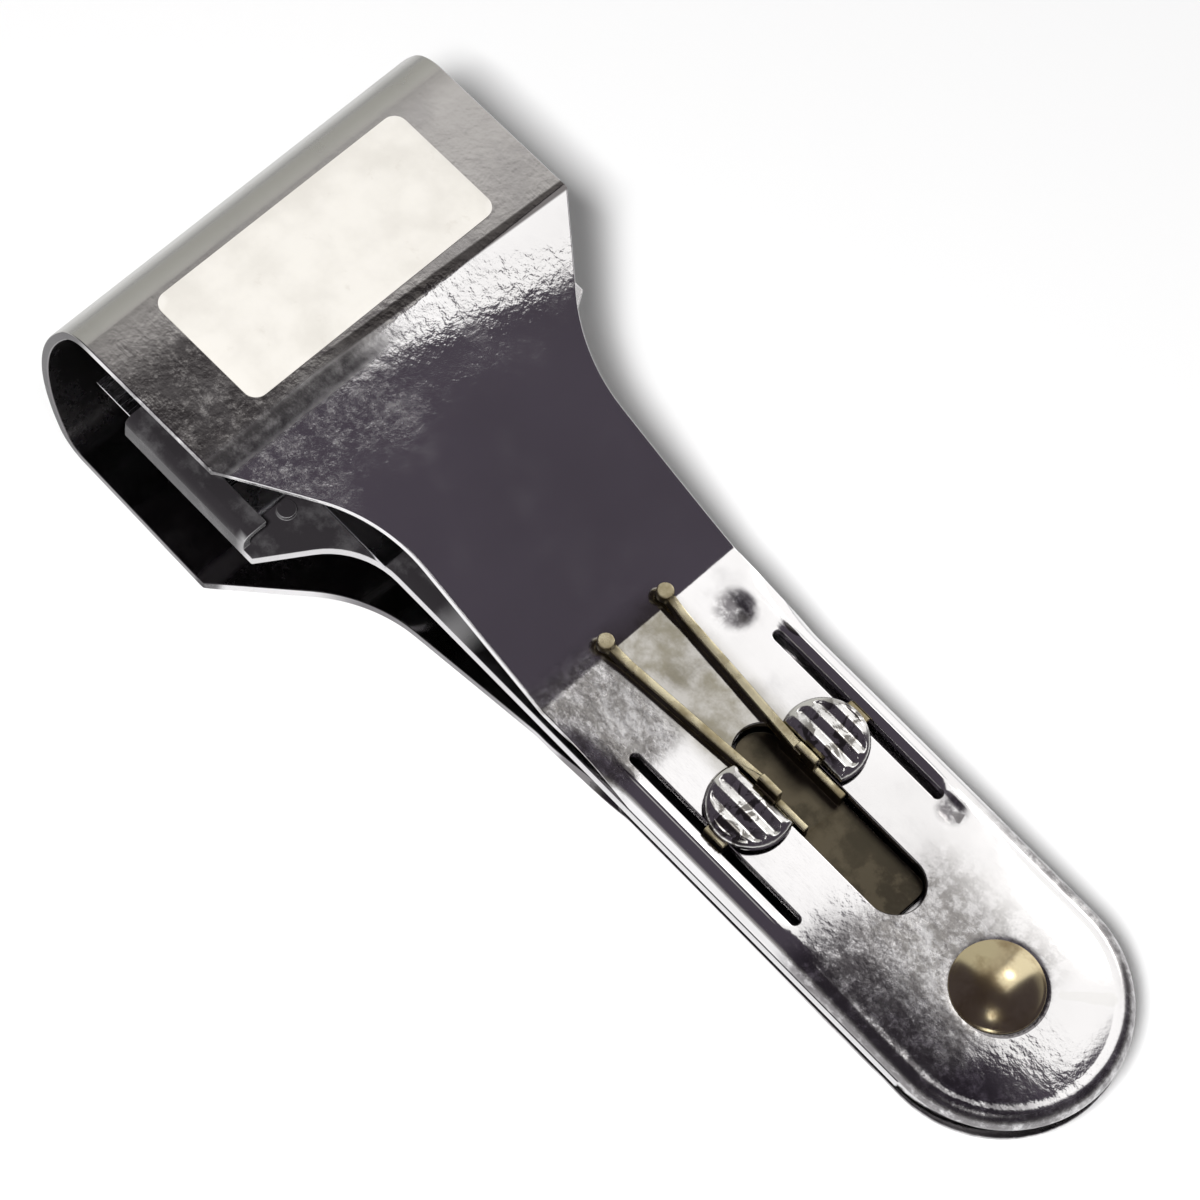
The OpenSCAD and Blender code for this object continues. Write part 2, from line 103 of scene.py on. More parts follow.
RIVET_HOLE_R = 2.2
DIMPLE_Y, DIMPLE_R, DIMPLE_H = -7.4, 1.5, 1.1
DENTS = [(39.9, -7.6, 2.3, 0.12), (14.0, -8.6, 1.7, 0.12)]    # place, radius and depth
EDGE_ROUND = 0.13

# The slide's sheet and the gaps
SLIDE_T = 0.7
FIT_GAP = 0.05
SLIP_GAP = 0.2

# Worked out from these
RISE = math.atan2(CREASE_H - FLAT_H, CREASE_X - KNEE_X)
BOW_X = FRONT_X - BOW_R
CORNER_Z = CREASE_H - FRONT_DROP - CORNER_R
BOW_ANGLE = math.asin(CORNER_Z / (BOW_R - CORNER_R))
CORNER_X = BOW_X + (BOW_R - CORNER_R) * math.cos(BOW_ANGLE)
FOLD_ANGLE = (math.atan2(CREASE_H - CORNER_Z, CREASE_X - CORNER_X)
              - math.acos(CORNER_R / math.hypot(CORNER_X - CREASE_X, CREASE_H - CORNER_Z)))
FALL = math.pi / 2 - FOLD_ANGLE
TANGENT_X = CORNER_X + CORNER_R * math.cos(FOLD_ANGLE)
BOW_START = TANGENT_X + CORNER_R * (FOLD_ANGLE - BOW_ANGLE)
BLANK_END = BOW_START + BOW_R * BOW_ANGLE
FLAT_R = HANDLE_R - RIM_R

# Where the sheet has points
KNEE_HALF, CREASE_HALF = 0.9, 0.8           # of the bends, where they are close together
EDGE_ROW, HOLE_ROW, FILL_GAP = 0.22, 0.15, 0.1    # beside the round edges and the holes
HEAD_COLUMNS = np.linspace(-HEAD_R, HEAD_R, 43)
HALF_TURN = np.linspace(0, math.pi, 91)[1:-1]
RING_STEP, RING_GAP = 0.24, 0.2             # in the dish and the dimple, and round them


def smooth(x):
    """0 below 0, 1 above 1 and an even rise between."""
    x = np.clip(x, 0.0, 1.0)
    return x * x * (3 - 2 * x)


def world(points):
    """Millimetres about the rivet to metres in the row frame."""
    return [PIVOT + Vector(p) * MM for p in points]


def row_x(x):
    """A place along the handle in the row frame, in metres."""
    return PIVOT.x + x * MM


def linked(name, data):
    """A new object in the scene."""
    made = bpy.data.objects.new(name, data)
    bpy.context.scene.collection.objects.link(made)
    return made


def new_piece(name, points, faces, material, body, node):
    """A mesh piece of points in millimetres that stands for a CAD node."""
    mesh = bpy.data.meshes.new(name)
    mesh.from_pydata(world(points), [], faces)
    return add_piece(name, mesh, material, body, node)


def add_piece(name, mesh, material, body, node):
    """A mesh as a piece that rides on a body, in a node's place."""
    mesh.validate()
    piece = linked(name, mesh)
    mesh.materials.clear()
    mesh.materials.append(material)
    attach(piece, body)
    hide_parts(node)
    return piece


def modify(piece, kind, **settings):
    """Adds one modifier and applies it."""
    modifier = piece.modifiers.new(kind.lower(), kind)
    for key, value in settings.items():
        setattr(modifier, key, value)
    graph = bpy.context.evaluated_depsgraph_get()
    mesh = bpy.data.meshes.new_from_object(piece.evaluated_get(graph))
    piece.modifiers.clear()
    old = piece.data
    piece.data = mesh
    bpy.data.meshes.remove(old)


def soften(piece, width):
    """Rounds the sharp edges by a width in millimetres and shades the rest smooth."""
    modify(piece, "BEVEL", width=width * MM, segments=2, limit_method="ANGLE",
           angle_limit=math.radians(40.0), use_clamp_overlap=False, harden_normals=False,
           miter_outer="MITER_ARC")
    shade(piece)


def shade(piece, angle=50.0):
    """Smooth shading that large faces lead, with edges over an angle kept sharp."""
    piece.data.shade_smooth()
    piece.data.set_sharp_from_angle(angle=math.radians(angle))
    modify(piece, "WEIGHTED_NORMAL", mode="FACE_AREA", keep_sharp=True, weight=50)


def faces_out(piece):
    """Turns the faces outward."""
    work = bmesh.new()
    work.from_mesh(piece.data)
    bmesh.ops.recalc_face_normals(work, faces=work.faces)
    work.to_mesh(piece.data)
    work.free()


def whole_faces(piece):
    """Joins doubled points and melts flat triangles into whole faces."""
    weld, flat = 0.002 * MM, math.radians(1.0)
    work = bmesh.new()
    work.from_mesh(piece.data)
    bmesh.ops.remove_doubles(work, verts=work.verts, dist=weld)
    bmesh.ops.dissolve_limit(work, angle_limit=flat, verts=work.verts,
                             edges=work.edges, use_dissolve_boundaries=False)
    work.to_mesh(piece.data)
    work.free()
    faces_out(piece)


def softened_node(node, name, material, body, width):
    """A copy of a CAD node with rounded edges, which stands for the node."""
    piece = add_piece(name, frame["nodes"][node].data.copy(), material, body, node)
    whole_faces(piece)
    soften(piece, width)


# Materials

class Nodes:
    """Small helpers for building a tree of nodes round a place in space."""

    def __init__(self, tree, place):
        self.tree = tree
        self.place = self.node("ShaderNodeTexCoord")[place]

    def node(self, kind, inputs=(), **settings):
        """The outputs of a new node, whose inputs are given by name or number."""
        made = self.tree.nodes.new(kind)
        for key, value in settings.items():
            setattr(made, key, value)
        for key, value in dict(inputs).items():
            self.set(made.inputs[key], value)
        return made.outputs

    def set(self, target, value):
        """Joins a socket, or writes a number, a vector or a colour."""
        if isinstance(value, bpy.types.NodeSocket):
            self.tree.links.new(value, target)
        else:
            target.default_value = (*value, 1.0) if isinstance(value, tuple) else value

    def ramp(self, value, low, high, to_low=0.0, to_high=1.0):
        """A soft rise between two values."""
        return self.node("ShaderNodeMapRange", {
            "Value": value, "From Min": low, "From Max": high, "To Min": to_low,
            "To Max": to_high}, interpolation_type="SMOOTHSTEP")["Result"]

    def rise(self, value, low, high, to_low=0.0, to_high=1.0):
        """A soft rise between two lengths in millimetres."""
        return self.ramp(value, low * MM, high * MM, to_low, to_high)

    def math(self, kind, first, *rest):
        """An operation on one value, or between any number of them from the left."""
        for value in rest or (0.0,):
            first = self.node("ShaderNodeMath", {0: first, 1: value}, operation=kind)[0]
        return first

    def product(self, *values):
        return self.math("MULTIPLY", *values)

    def total(self, *values):
        return self.math("ADD", *values)

    def minus(self, a, b):
        return self.math("SUBTRACT", a, b)

    def most(self, *values):
        return self.math("MAXIMUM", *values)

    def absolute(self, value):
        return self.math("ABSOLUTE", value)

    def mix(self, share, a, b):
        """Colour a where the share is 0, colour b where it is 1: the node's inputs 6 and 7."""
        return self.node("ShaderNodeMix", {0: share, 6: a, 7: b}, data_type="RGBA")[2]

    def split(self, vector):
        return self.node("ShaderNodeSeparateXYZ", {0: vector})

    def vector(self, kind, a, b):
        """The outputs of an operation between two vectors."""
        return self.node("ShaderNodeVectorMath", {0: a, 1: b}, operation=kind)


class Shade(Nodes):
    """One material's nodes, with places x, y and z about the rivet."""

    def __init__(self, name, metallic, roughness, specular=0.5):
        self.material = bpy.data.materials.new(name)
        self.material.use_nodes = True
        super().__init__(self.material.node_tree, "Object")
        self.shader = next(n for n in self.tree.nodes if n.type == "BSDF_PRINCIPLED")
        for key, number in (("Metallic", metallic), ("Roughness", roughness),
                            ("Specular IOR Level", specular)):
            self.shader.inputs[key].default_value = number
        self.about_rivet = self.vector("SUBTRACT", self.place, PIVOT)["Vector"]
        self.x, self.y, self.z = self.split(self.about_rivet)
        surface = self.node("ShaderNodeNewGeometry")
        self.facing = self.split(surface["Normal"])
        self.pointed = surface["Pointiness"]

    def stretched(self, along, across):
        """Places scaled so that noise runs long along X, in cycles a metre."""
        scale = Vector((along, across, across))
        return self.node("ShaderNodeMapping", {"Vector": self.place, "Scale": scale})[0]

    def noise(self, scale, detail=3.0, rough=0.5, place=None, distortion=0.0):
        return self.node("ShaderNodeTexNoise", {
            "Vector": place or self.place, "Scale": scale, "Detail": detail,
            "Roughness": rough, "Distortion": distortion})["Fac"]

    def colour(self, value):
        self.set(self.shader.inputs["Base Color"], value)

    def roughness(self, value):
        self.set(self.shader.inputs["Roughness"], value)

    def bump(self, height, distance, strength=1.0, before=None):
        """Height in shares of a distance in millimetres."""
        inputs = {"Height": height, "Distance": distance * MM, "Strength": strength}
        if before is not None:
            inputs["Normal"] = before
        normal = self.node("ShaderNodeBump", inputs)["Normal"]
        self.set(self.shader.inputs["Normal"], normal)
        return normal

    def edges(self, low=0.53, high=0.62):
        """1 along worn outer edges, 0 on flats."""
        return self.ramp(self.pointed, low, high)

    def between(self, span, fade):
        """1 between two places along the handle, fading out over a length in millimetres."""
        low, high = span
        return self.product(self.rise(self.x, low - fade, low),
                            self.rise(self.x, high + fade, high))


# Where the plate is marked, in millimetres along the handle
PRONG_REFLECTION_X = (29.0, 44.0)
RIVET_PATCH_X, KNEE_PATCH_X = (-1.0, 10.5), (35.5, 44.5)
RIM_SHADE_X = (-9.0, 12.0)
TAIL_GRAIN_X = (-13.0, 13.0)
RIM_MARK_R = (10.2, 10.9)          # about the tail's middle
CUT_DARK_X = (91.5, 94.0)          # the cut edge is dark beyond here


def crease_marks(s, bend, cloud):
    """Shares of a painted shade line along the crease, painted shade over the bend at the left,
    and haze behind it.
    """
    slant = s.product(s.total(s.y, HEAD_R * MM), 0.045)
    off_line = s.absolute(s.minus(s.minus(bend, slant), 0.28 * MM))
    line = s.product(s.rise(off_line, 0.65, 0.40), s.rise(s.y, 13.0, 2.0))
    off_bend = s.absolute(s.total(bend, 0.05 * MM))
    shaded_bend = s.product(s.rise(off_bend, 1.6, 0.6), s.rise(s.y, -2.0, 6.0))
    haze = s.product(s.rise(bend, -11.0, -3.0), s.rise(bend, 2.5, 0.0),
                     s.rise(s.y, -3.0, 6.0), s.ramp(cloud, 0.65, 0.35))
    return line, shaded_bend, haze


def dent_shade(s):
    """Share of painted dark reflection in the dents."""
    marks = []
    for at_x, at_y, reach, _ in DENTS:
        away = s.vector("DISTANCE", s.about_rivet, Vector((at_x, at_y, FLAT_H)) * MM)["Value"]
        marks.append(s.rise(away, reach * 1.1, reach * 0.40))
    return s.most(*marks)


def left_side_shade(s):
    """Share of the darkest painted shade, a dark reflection on the left: by the tail's left
    rim, and on the plate by the label.
    """
    by_rim = s.product(s.between(RIM_SHADE_X, 4.0), s.rise(s.y, 2.5, 8.0))
    by_label = s.product(s.rise(s.x, 91.0, 86.5), s.rise(s.x, 75.5, 77.0),
                         s.rise(s.y, 5.0, 14.0))
    return s.most(by_rim, by_label)


def cut_edge_shade(s):
    """Share of painted shade on the cut edge that faces sideways: round the fold, and less
    along the lower leaf.
    """
    cut = s.ramp(s.absolute(s.facing[1]), 0.75, 0.95)
    return s.product(cut, s.most(s.rise(s.z, -1.5, -4.0, 0.0, 0.85),
                                 s.rise(s.x, *CUT_DARK_X)))


def rim_marks(s, cloud):
    """Share of the tail's rolled rim, and of the parts of it that are rubbed dull."""
    behind = s.math("MINIMUM", s.total(s.x, TAIL_SET * MM), 0.0)
    radial = s.math("SQRT", s.total(s.product(behind, behind), s.product(s.y, s.y)))
    rim = s.product(s.rise(radial, *RIM_MARK_R), s.rise(s.x, 16.0, 6.0))
    return rim, s.product(rim, s.ramp(cloud, 0.70, 0.40))


def inside_shade(s):
    """Share of painted shade on the sheet's inner face, which looks towards the middle of the
    fold.
    """
    outward = s.total(s.product(s.facing[2], s.z),
                      s.product(s.facing[0], s.minus(s.x, 86.0 * MM)))
    return s.rise(outward, -0.2, -0.9)


def plate_skin(s, bend, by_knee, grain, scratches):
    """Waves and a hammered skin, grainy where the sheet is bent."""
    reach = s.product(s.total(s.y, (HEAD_R - 11.0) * MM), 0.38)
    by_crease = s.product(s.rise(s.minus(bend, reach), 1.5, -1.5),
                          s.rise(bend, -14.0, -7.5), s.rise(bend, 0.0, 2.0, 1.0, 0.25))
    by_tail = s.product(s.between(TAIL_GRAIN_X, 4.0), s.rise(s.y, -6.0, 2.0))
    skin = s.bump(s.noise(95.0, 2.0, 0.5), 0.16, 0.20)
    skin = s.bump(s.noise(1000.0, 2.0, 0.55), 0.016, 0.40, skin)
    skin = s.bump(s.noise(2600.0, 2.0, 0.6), 0.004, 0.45, skin)
    skin = s.bump(grain, 0.055, s.most(by_crease, s.product(s.most(by_tail, by_knee), 0.8)),
                  skin)
    s.bump(scratches, 0.006, 0.3, skin)


def plated_sheet():
    """Bright nickel plate over pressed sheet: soft waves, hammered skin, scratches, smudges."""
    s = Shade("plated sheet", 1.0, 0.09)
    cloud = s.noise(620.0, 8.0, 0.8)
    grain = s.noise(850.0, 3.0, 0.6)
    scratches = s.noise(1.0, 4.0, 0.65, s.stretched(260.0, 5200.0))
    fold = s.rise(s.x, TANGENT_X - 3.0, TANGENT_X + 3.0)
    # The painted prong reflection, the patches and the painted dark reflections on the left are
    # on the upper leaf alone
    upper = s.rise(s.z, -1.0, 0.0)
    prong_reflection = s.product(s.rise(s.absolute(s.y), 5.2, 2.6), s.between(PRONG_REFLECTION_X, 3.0), upper)
    by_rivet = s.product(s.between(RIVET_PATCH_X, 3.5), s.rise(s.y, -8.0, -2.0))
    by_knee = s.product(s.between(KNEE_PATCH_X, 2.5), s.rise(s.y, 3.0, 5.0))
    patch = s.product(s.most(by_rivet, by_knee), upper)
    bend = s.minus(s.x, CREASE_X * MM)
    line, shaded_bend, haze = crease_marks(s, bend, cloud)
    rim, dull_rim = rim_marks(s, cloud)
    body = s.mix(s.ramp(s.noise(60.0, 4.0), 0.3, 0.7), (0.82, 0.81, 0.82), (0.73, 0.72, 0.725))
    for share, colour in (
            # Over the fold the plate is rougher, and painted darker: painted shade that dims
            # its reflection
            (fold, (0.46, 0.455, 0.435)),
            # Painted reflection of the brass prongs darkens the plate between them
            (s.product(prong_reflection, s.ramp(s.noise(300.0, 4.0, 0.6), 0.35, 0.65, 0.55, 1.0)),
             (0.26, 0.24, 0.19)),
            # Handling has dulled the plate round the rivet and beside the knee
            (s.product(patch, s.ramp(cloud, 0.62, 0.40), 0.92), (0.30, 0.285, 0.275)),
            # Painted shade: a mottled dark reflection on the left, by the tail's rim and by the
            # label
            (s.product(left_side_shade(s), s.ramp(cloud, 0.68, 0.45), upper, 0.85), (0.13, 0.12, 0.13)),
            # Painted shade: a mottled dark reflection in each dent
            (s.product(dent_shade(s), s.ramp(grain, 0.75, 0.40), 0.9), (0.13, 0.12, 0.13)),
            # Painted shade over the crease's bend at the left
            (s.product(shaded_bend, s.ramp(cloud, 0.75, 0.35, 0.6, 1.0)), (0.09, 0.085, 0.09)),
            # Painted shade line along the crease
            (s.product(line, 0.90), (0.09, 0.08, 0.08)),
            (s.product(s.edges(), 0.5), (0.70, 0.69, 0.68)),
            # Painted shade on the sideways cut edges
            (cut_edge_shade(s), (0.06, 0.055, 0.06)),
            (dull_rim, (0.24, 0.23, 0.235)),
            # Painted shade darkens the inside
            (inside_shade(s), (0.22, 0.21, 0.215))):
        body = s.mix(share, body, colour)
    s.colour(body)
    smudge = s.ramp(s.noise(140.0, 5.0, 0.6), 0.45, 0.75, 0.06, 0.16)
    rubbed = s.most(s.product(s.most(fold, patch, rim), 0.17), s.product(shaded_bend, 0.40),
                    s.product(haze, 0.22))
    s.roughness(s.total(smudge, rubbed, s.product(scratches, 0.05)))
    plate_skin(s, bend, by_knee, grain, scratches)
    return s.material


def head_shade(s, start):
    """Share of painted shade on the carrier: beyond a place along the handle, and on top in the
    head.
    """
    front = s.rise(s.x, start - 1.0, start + 1.0)
    top = s.product(s.ramp(s.facing[2], 0.5, 0.9), s.rise(s.x, 52.0, 58.0))
    return s.product(s.most(front, top),
                     s.ramp(s.noise(330.0, 5.0, 0.65), 0.72, 0.45, 0.90, 1.0),
                     s.rise(s.y, -17.0, -14.0))


def satin_steel(name, low, high, roughness, shaded_from=None):
    """Plain or plated steel with drawn grain along X, with painted shade beyond a place."""
    s = Shade(name, 1.0, roughness)
    drawn = s.noise(1.0, 5.0, 0.7, s.stretched(180.0, 3800.0))
    body = s.mix(s.product(s.edges(), 0.7),
                 s.mix(s.noise(130.0, 4.0), low, high), (0.72, 0.72, 0.72))
    if shaded_from is not None:
        # Painted shade: dark, dull and not metallic inside the head
        in_shade = head_shade(s, shaded_from)
        body = s.mix(in_shade, body, (0.030, 0.027, 0.030))
        s.set(s.shader.inputs["Metallic"], s.minus(1.0, in_shade))
        s.shader.inputs["Specular IOR Level"].default_value = 0.12
    s.colour(body)
    s.roughness(s.ramp(s.noise(220.0, 4.0), 0.3, 0.75, roughness * 0.75, roughness * 1.35))
    s.bump(drawn, 0.01, 0.5)
    return s.material


def worn_brass(name, bright, dark, roughness, shaded_below=None):
    """Brass with random tarnish, brown in its corners, and with painted shade on its sides and
    below a height.
    """
    s = Shade(name, 1.0, roughness)
    tarnish = s.ramp(s.noise(300.0, 5.0, 0.62), 0.40, 0.66)
    dull = s.product(tarnish, 0.10)
    body = s.mix(tarnish, bright, dark)
    if shaded_below is not None:
        # Painted shade below the leaf's top, darker towards the slot's rear, mottled with
        # tarnish
        deep = s.rise(s.z, shaded_below + 0.1, shaded_below - 0.5)
        rear = s.rise(s.x, 22.0, 11.0)
        deep_body = s.mix(s.product(rear, s.ramp(tarnish, -0.3, 0.5)),
                          (0.17, 0.145, 0.10), (0.058, 0.048, 0.036))
        # Painted shade: the sides are darkened brown, so the tops look lit
        sides = s.ramp(s.absolute(s.facing[2]), 0.85, 0.45, 0.0, 0.85)
        body = s.mix(sides, body, (0.13, 0.105, 0.05))
        body = s.mix(deep, body, s.mix(tarnish, deep_body, (0.09, 0.078, 0.055)))
        dull = s.product(s.most(deep, tarnish), 0.18)
    s.roughness(s.total(dull, roughness))
    grime = s.ramp(s.pointed, 0.49, 0.42)
    s.colour(s.mix(s.product(grime, 0.8), body, (0.09, 0.065, 0.03)))
    fine = s.bump(s.noise(1.0, 4.0, 0.6, s.stretched(400.0, 3000.0)), 0.005, 0.3)
    s.bump(s.noise(1100.0, 3.0), 0.006, 0.3, fine)
    return s.material


def bright_pad():
    """Bright plate with worn ribs and black grime between them and in blotches."""
    s = Shade("bright pad", 1.0, 0.12)
    grime = s.ramp(s.pointed, 0.505, 0.44)
    base = s.mix(s.noise(500.0, 3.0), (0.80, 0.79, 0.78), (0.66, 0.65, 0.64))
    middle = s.rise(s.absolute(s.minus(s.x, PAD_X * MM)), 3.1, 1.6)
    blotch = s.product(s.ramp(s.noise(620.0, 4.0, 0.6, distortion=0.8), 0.47, 0.55), middle)
    s.colour(s.mix(s.most(grime, s.product(blotch, 0.85)), base, (0.07, 0.06, 0.05)))
    s.roughness(s.ramp(s.noise(700.0, 3.0), 0.35, 0.7, 0.08, 0.24))
    s.bump(s.noise(900.0, 3.0), 0.045, 0.5)
    return s.material


def blade_steel():
    """Ground steel, its grain square to the edge."""
    s = Shade("blade steel", 1.0, 0.2)
    drawn = s.noise(1.0, 5.0, 0.7, s.stretched(6000.0, 240.0))
    s.colour(s.mix(s.noise(160.0, 4.0), (0.72, 0.73, 0.75), (0.60, 0.61, 0.64)))
    s.roughness(s.ramp(drawn, 0.3, 0.75, 0.16, 0.32))
    s.bump(drawn, 0.005, 0.45)
    return s.material


def paper():
    """Matte off-white paper with fibres, a rubbed surface and paler edges."""
    s = Shade("label paper", 0.0, 0.72, 0.3)
    fibres = s.noise(1.0, 5.0, 0.7, s.stretched(1800.0, 3600.0), 0.6)
    cloud = s.noise(170.0, 4.0, 0.55)
    body = s.mix(s.ramp(cloud, 0.35, 0.7), (0.86, 0.83, 0.775), (0.76, 0.73, 0.675))
    rubbed = s.ramp(s.noise(420.0, 5.0, 0.65), 0.60, 0.72, 0.0, 0.35)
    aged = s.mix(rubbed, body, (0.66, 0.62, 0.56))
    s.colour(s.mix(s.product(s.edges(0.52, 0.6), 0.5), aged, (0.90, 0.87, 0.82)))
    s.roughness(s.ramp(fibres, 0.3, 0.7, 0.62, 0.82))
    s.bump(fibres, 0.02, 0.4, s.bump(cloud, 0.05, 0.3))
    return s.material


PLATE = plated_sheet()
CARRIER_STEEL = satin_steel("carrier steel", (0.70, 0.69, 0.70), (0.58, 0.57, 0.58), 0.2,
                            shaded_from=73.2)
PLAIN_STEEL = satin_steel("plain steel", (0.56, 0.56, 0.57), (0.44, 0.44, 0.45), 0.32)
SPRING_STEEL = satin_steel("spring steel", (0.60, 0.60, 0.62), (0.48, 0.49, 0.52), 0.26)
SPINE_STEEL = satin_steel("spine steel", (0.74, 0.75, 0.77), (0.62, 0.63, 0.66), 0.24)
BLADE_STEEL = blade_steel()
SLIDE_BRASS = worn_brass("slide brass", (0.62, 0.56, 0.39), (0.38, 0.32, 0.19), 0.22, FLAT_H)
RIVET_BRASS = worn_brass("rivet brass", (0.64, 0.55, 0.36), (0.40, 0.31, 0.18), 0.16)
PAD_CHROME = bright_pad()
PAPER = paper()


# The handle: one strip, drawn flat as a blank and then bent

def roll_share(u):
    """How far the rim is rolled down: 1 on the narrow handle, 0 on the neck."""
    return 1.0 - smooth((u - ROLL_FROM) / (ROLL_TO - ROLL_FROM))


def rim_reach(share):
    """Length of the blank beyond the flat part where the rim is rolled by a share."""
    share = np.maximum(share, 1e-4)
    return RIM_R * np.arcsin(share) / share + share ** 4 * (FLAT_H - RIM_R - RIM_GAP)


def half_width(x):
    """Half the strip's width in plan, from the neck to the fold."""
    angle = math.radians(NECK_ANGLE)
    foot = CREASE_X - (HEAD_R - HANDLE_R) / math.tan(angle)
    start = foot - NECK_R * math.tan(angle / 2)
    end = foot + NECK_R * math.tan(angle / 2) * math.cos(angle)
    round_part = HANDLE_R + NECK_R - np.sqrt(
        np.maximum(NECK_R ** 2 - (np.clip(x, start, end) - start) ** 2, 0))
    slant = HANDLE_R + (x - foot) * math.tan(angle)
    return np.where(x < end, round_part, np.minimum(slant, HEAD_R))


def fillet(x, corner, low_slope, high_slope, radius):
    """Height to add where two straight slopes meet at a corner, for a round of a radius."""
    turn = abs(math.atan(high_slope) - math.atan(low_slope))
    reach = radius * math.tan(turn / 2)
    t = np.clip((x - corner + reach) / (2 * reach), 0.0, 1.0)
    straight = np.where(t < 0.5, low_slope * (t - 0.5), high_slope * (t - 0.5)) * 2 * reach
    start, end = low_slope * -reach, high_slope * reach
    curve = (1 - t) ** 2 * start + t ** 2 * end
    return curve - straight


def risen(t):
    """The area under smooth() from 0 to t."""
    inside = np.clip(t, 0.0, 1.0)
    return inside ** 3 - inside ** 4 / 2 + np.clip(t - 1.0, 0.0, None)


def swell(x, y):
    """The neck's flatter stretch behind the crease, which runs out towards the left."""
    back = np.clip(CREASE_X - x, 0.0, None)
    reach = SWELL_L * np.clip(-y / HEAD_R, -0.7, 1.0)
    gain = back - SWELL_FADE * (risen((back - reach) / SWELL_FADE) - risen(-reach / SWELL_FADE))
    return SWELL_SLOPE * gain * (1 - smooth((back - SWELL_END) / SWELL_OUT))


def tail_fall(x, y):
    """How far the flat handle falls away from its top towards the rim."""
    at_tail = 1 - smooth((x - TAIL_FALL_X) / TAIL_FALL_L)
    away = np.hypot(np.minimum(x, 0.0), y)
    side = SIDE_FALL * np.maximum(away - SIDE_FALL_Y, 0.0) ** 2
    tail = TAIL_FALL * np.maximum(away - TAIL_FALL_R, 0.0) ** 2
    return side * (1 - at_tail) + tail * at_tail


def leaf_height(x, y, upper):
    """Outer face of a leaf over the middle plane, without the rim."""
    up, down = math.tan(RISE), -math.tan(FALL)
    height = np.where(x < KNEE_X, FLAT_H, FLAT_H + (x - KNEE_X) * up)
    height = np.where(x > CREASE_X, CREASE_H + (x - CREASE_X) * down, height)
    height = height + fillet(x, KNEE_X, 0.0, up, BEND_R)
    height = height + fillet(x, CREASE_X, up, down, BEND_R if upper else LOW_BEND_R)
    return height + np.where((x > KNEE_X) & (x < CREASE_X), swell(x, y), 0.0)


def pressed(x, y, upper):
    """What is pressed into a leaf: the dish, and the slits' lips or the dimple."""
    inward = np.clip((DISH_R - np.hypot(x, y)) / (DISH_R - DISH_FLOOR_R), 0.0, 1.0)
    height = -DISH_H * inward ** 3
    if upper:
        for at_x, at_y, reach, depth in DENTS:
            height -= depth * (1 - smooth(np.hypot(x - at_x, y - at_y) / reach))
        out = np.abs(y) - SLIT_Y - SLIT_W / 2
        along = smooth((SLIT_L / 2 + LIP_PAST - np.abs(x - PAD_X)) / LIP_RUN)
        across = (np.clip((out + LIP_FOOT) / (LIP_TOP + LIP_FOOT), 0, 1) ** 1.3
                  * (1 - smooth((out - LIP_TOP) / LIP_W)))
        height += LIP_H * along * across
    else:
        away = np.hypot(x, y - DIMPLE_Y)
        height -= DIMPLE_H * (1 - smooth(away / DIMPLE_R))
    return height


def bent(blank, upper, press=True):
    """Points of the flat blank to points on the bent leaf's outer face."""
    u, v = blank[:, 0], blank[:, 1]
    tail = np.minimum(u + TAIL_SET, 0.0)
    away = np.hypot(tail, v)
    safe = np.maximum(away, 1e-9)
    share = np.maximum(roll_share(u), 1e-4)
    beyond = np.maximum(away - FLAT_R, 0.0)
    curved = np.minimum(beyond, RIM_R * np.arcsin(np.minimum(share, 1.0)) / share)
    rest = beyond - curved
    angle = share * curved / RIM_R
    reach = RIM_R / share * np.sin(angle) + rest * np.cos(angle)
    drop = RIM_R / share * (1 - np.cos(angle)) + rest * np.sin(angle)
    plain = roll_share(u) < 1e-3
    radial = np.where(plain, away, np.minimum(away, FLAT_R) + reach)
    drop = np.where(plain, 0.0, drop)
    x = np.where(tail < 0, -TAIL_SET + tail / safe * radial, u)
    y = v / safe * radial
    held = np.minimum(1.0, FLAT_R / safe)
    fall = tail_fall(np.where(tail < 0, tail * held, np.maximum(u, 0.0)), v * held)
    z = leaf_height(x, y, upper) - drop
    z = z - fall * roll_share(u) * (1 - np.minimum(beyond / rim_reach(1.0), 1.0))
    if press:
        z = z + pressed(x, y, upper)
    for start, first, centre, height, radius in (
            (TANGENT_X, FOLD_ANGLE, CORNER_X, CORNER_Z, CORNER_R),
            (BOW_START, BOW_ANGLE, BOW_X, 0.0, BOW_R)):
        turned = first - (u - start) / radius
        x = np.where(u > start, centre + radius * np.cos(turned), x)
        z = np.where(u > start, height + radius * np.sin(turned), z)
    return np.stack([x, y, z], 1)


def normals(blank, upper, press):
    """Unit normals of the leaf's outer face, and what a step along the blank becomes."""
    step = 2e-3
    along = [(bent(blank + d, upper, press) - bent(blank - d, upper, press)) / (2 * step)
             for d in (np.array([[step, 0.0]]), np.array([[0.0, step]]))]
    out = np.cross(along[0], along[1])
    return out / np.linalg.norm(out, axis=1, keepdims=True), along


def sheet_points(blank, depth, upper):
    """Points at a depth under the leaf's outer face, with that face's normals."""
    plain, _ = normals(blank, upper, False)
    out, along = normals(blank, upper, True)
    return bent(blank, upper) - depth * plain, out, along


def circle(cx, cy, r, count):
    """Points on a circle."""
    angles = np.arange(count) * 2 * math.pi / count
    return np.stack([cx + r * np.cos(angles), cy + r * np.sin(angles)], 1)


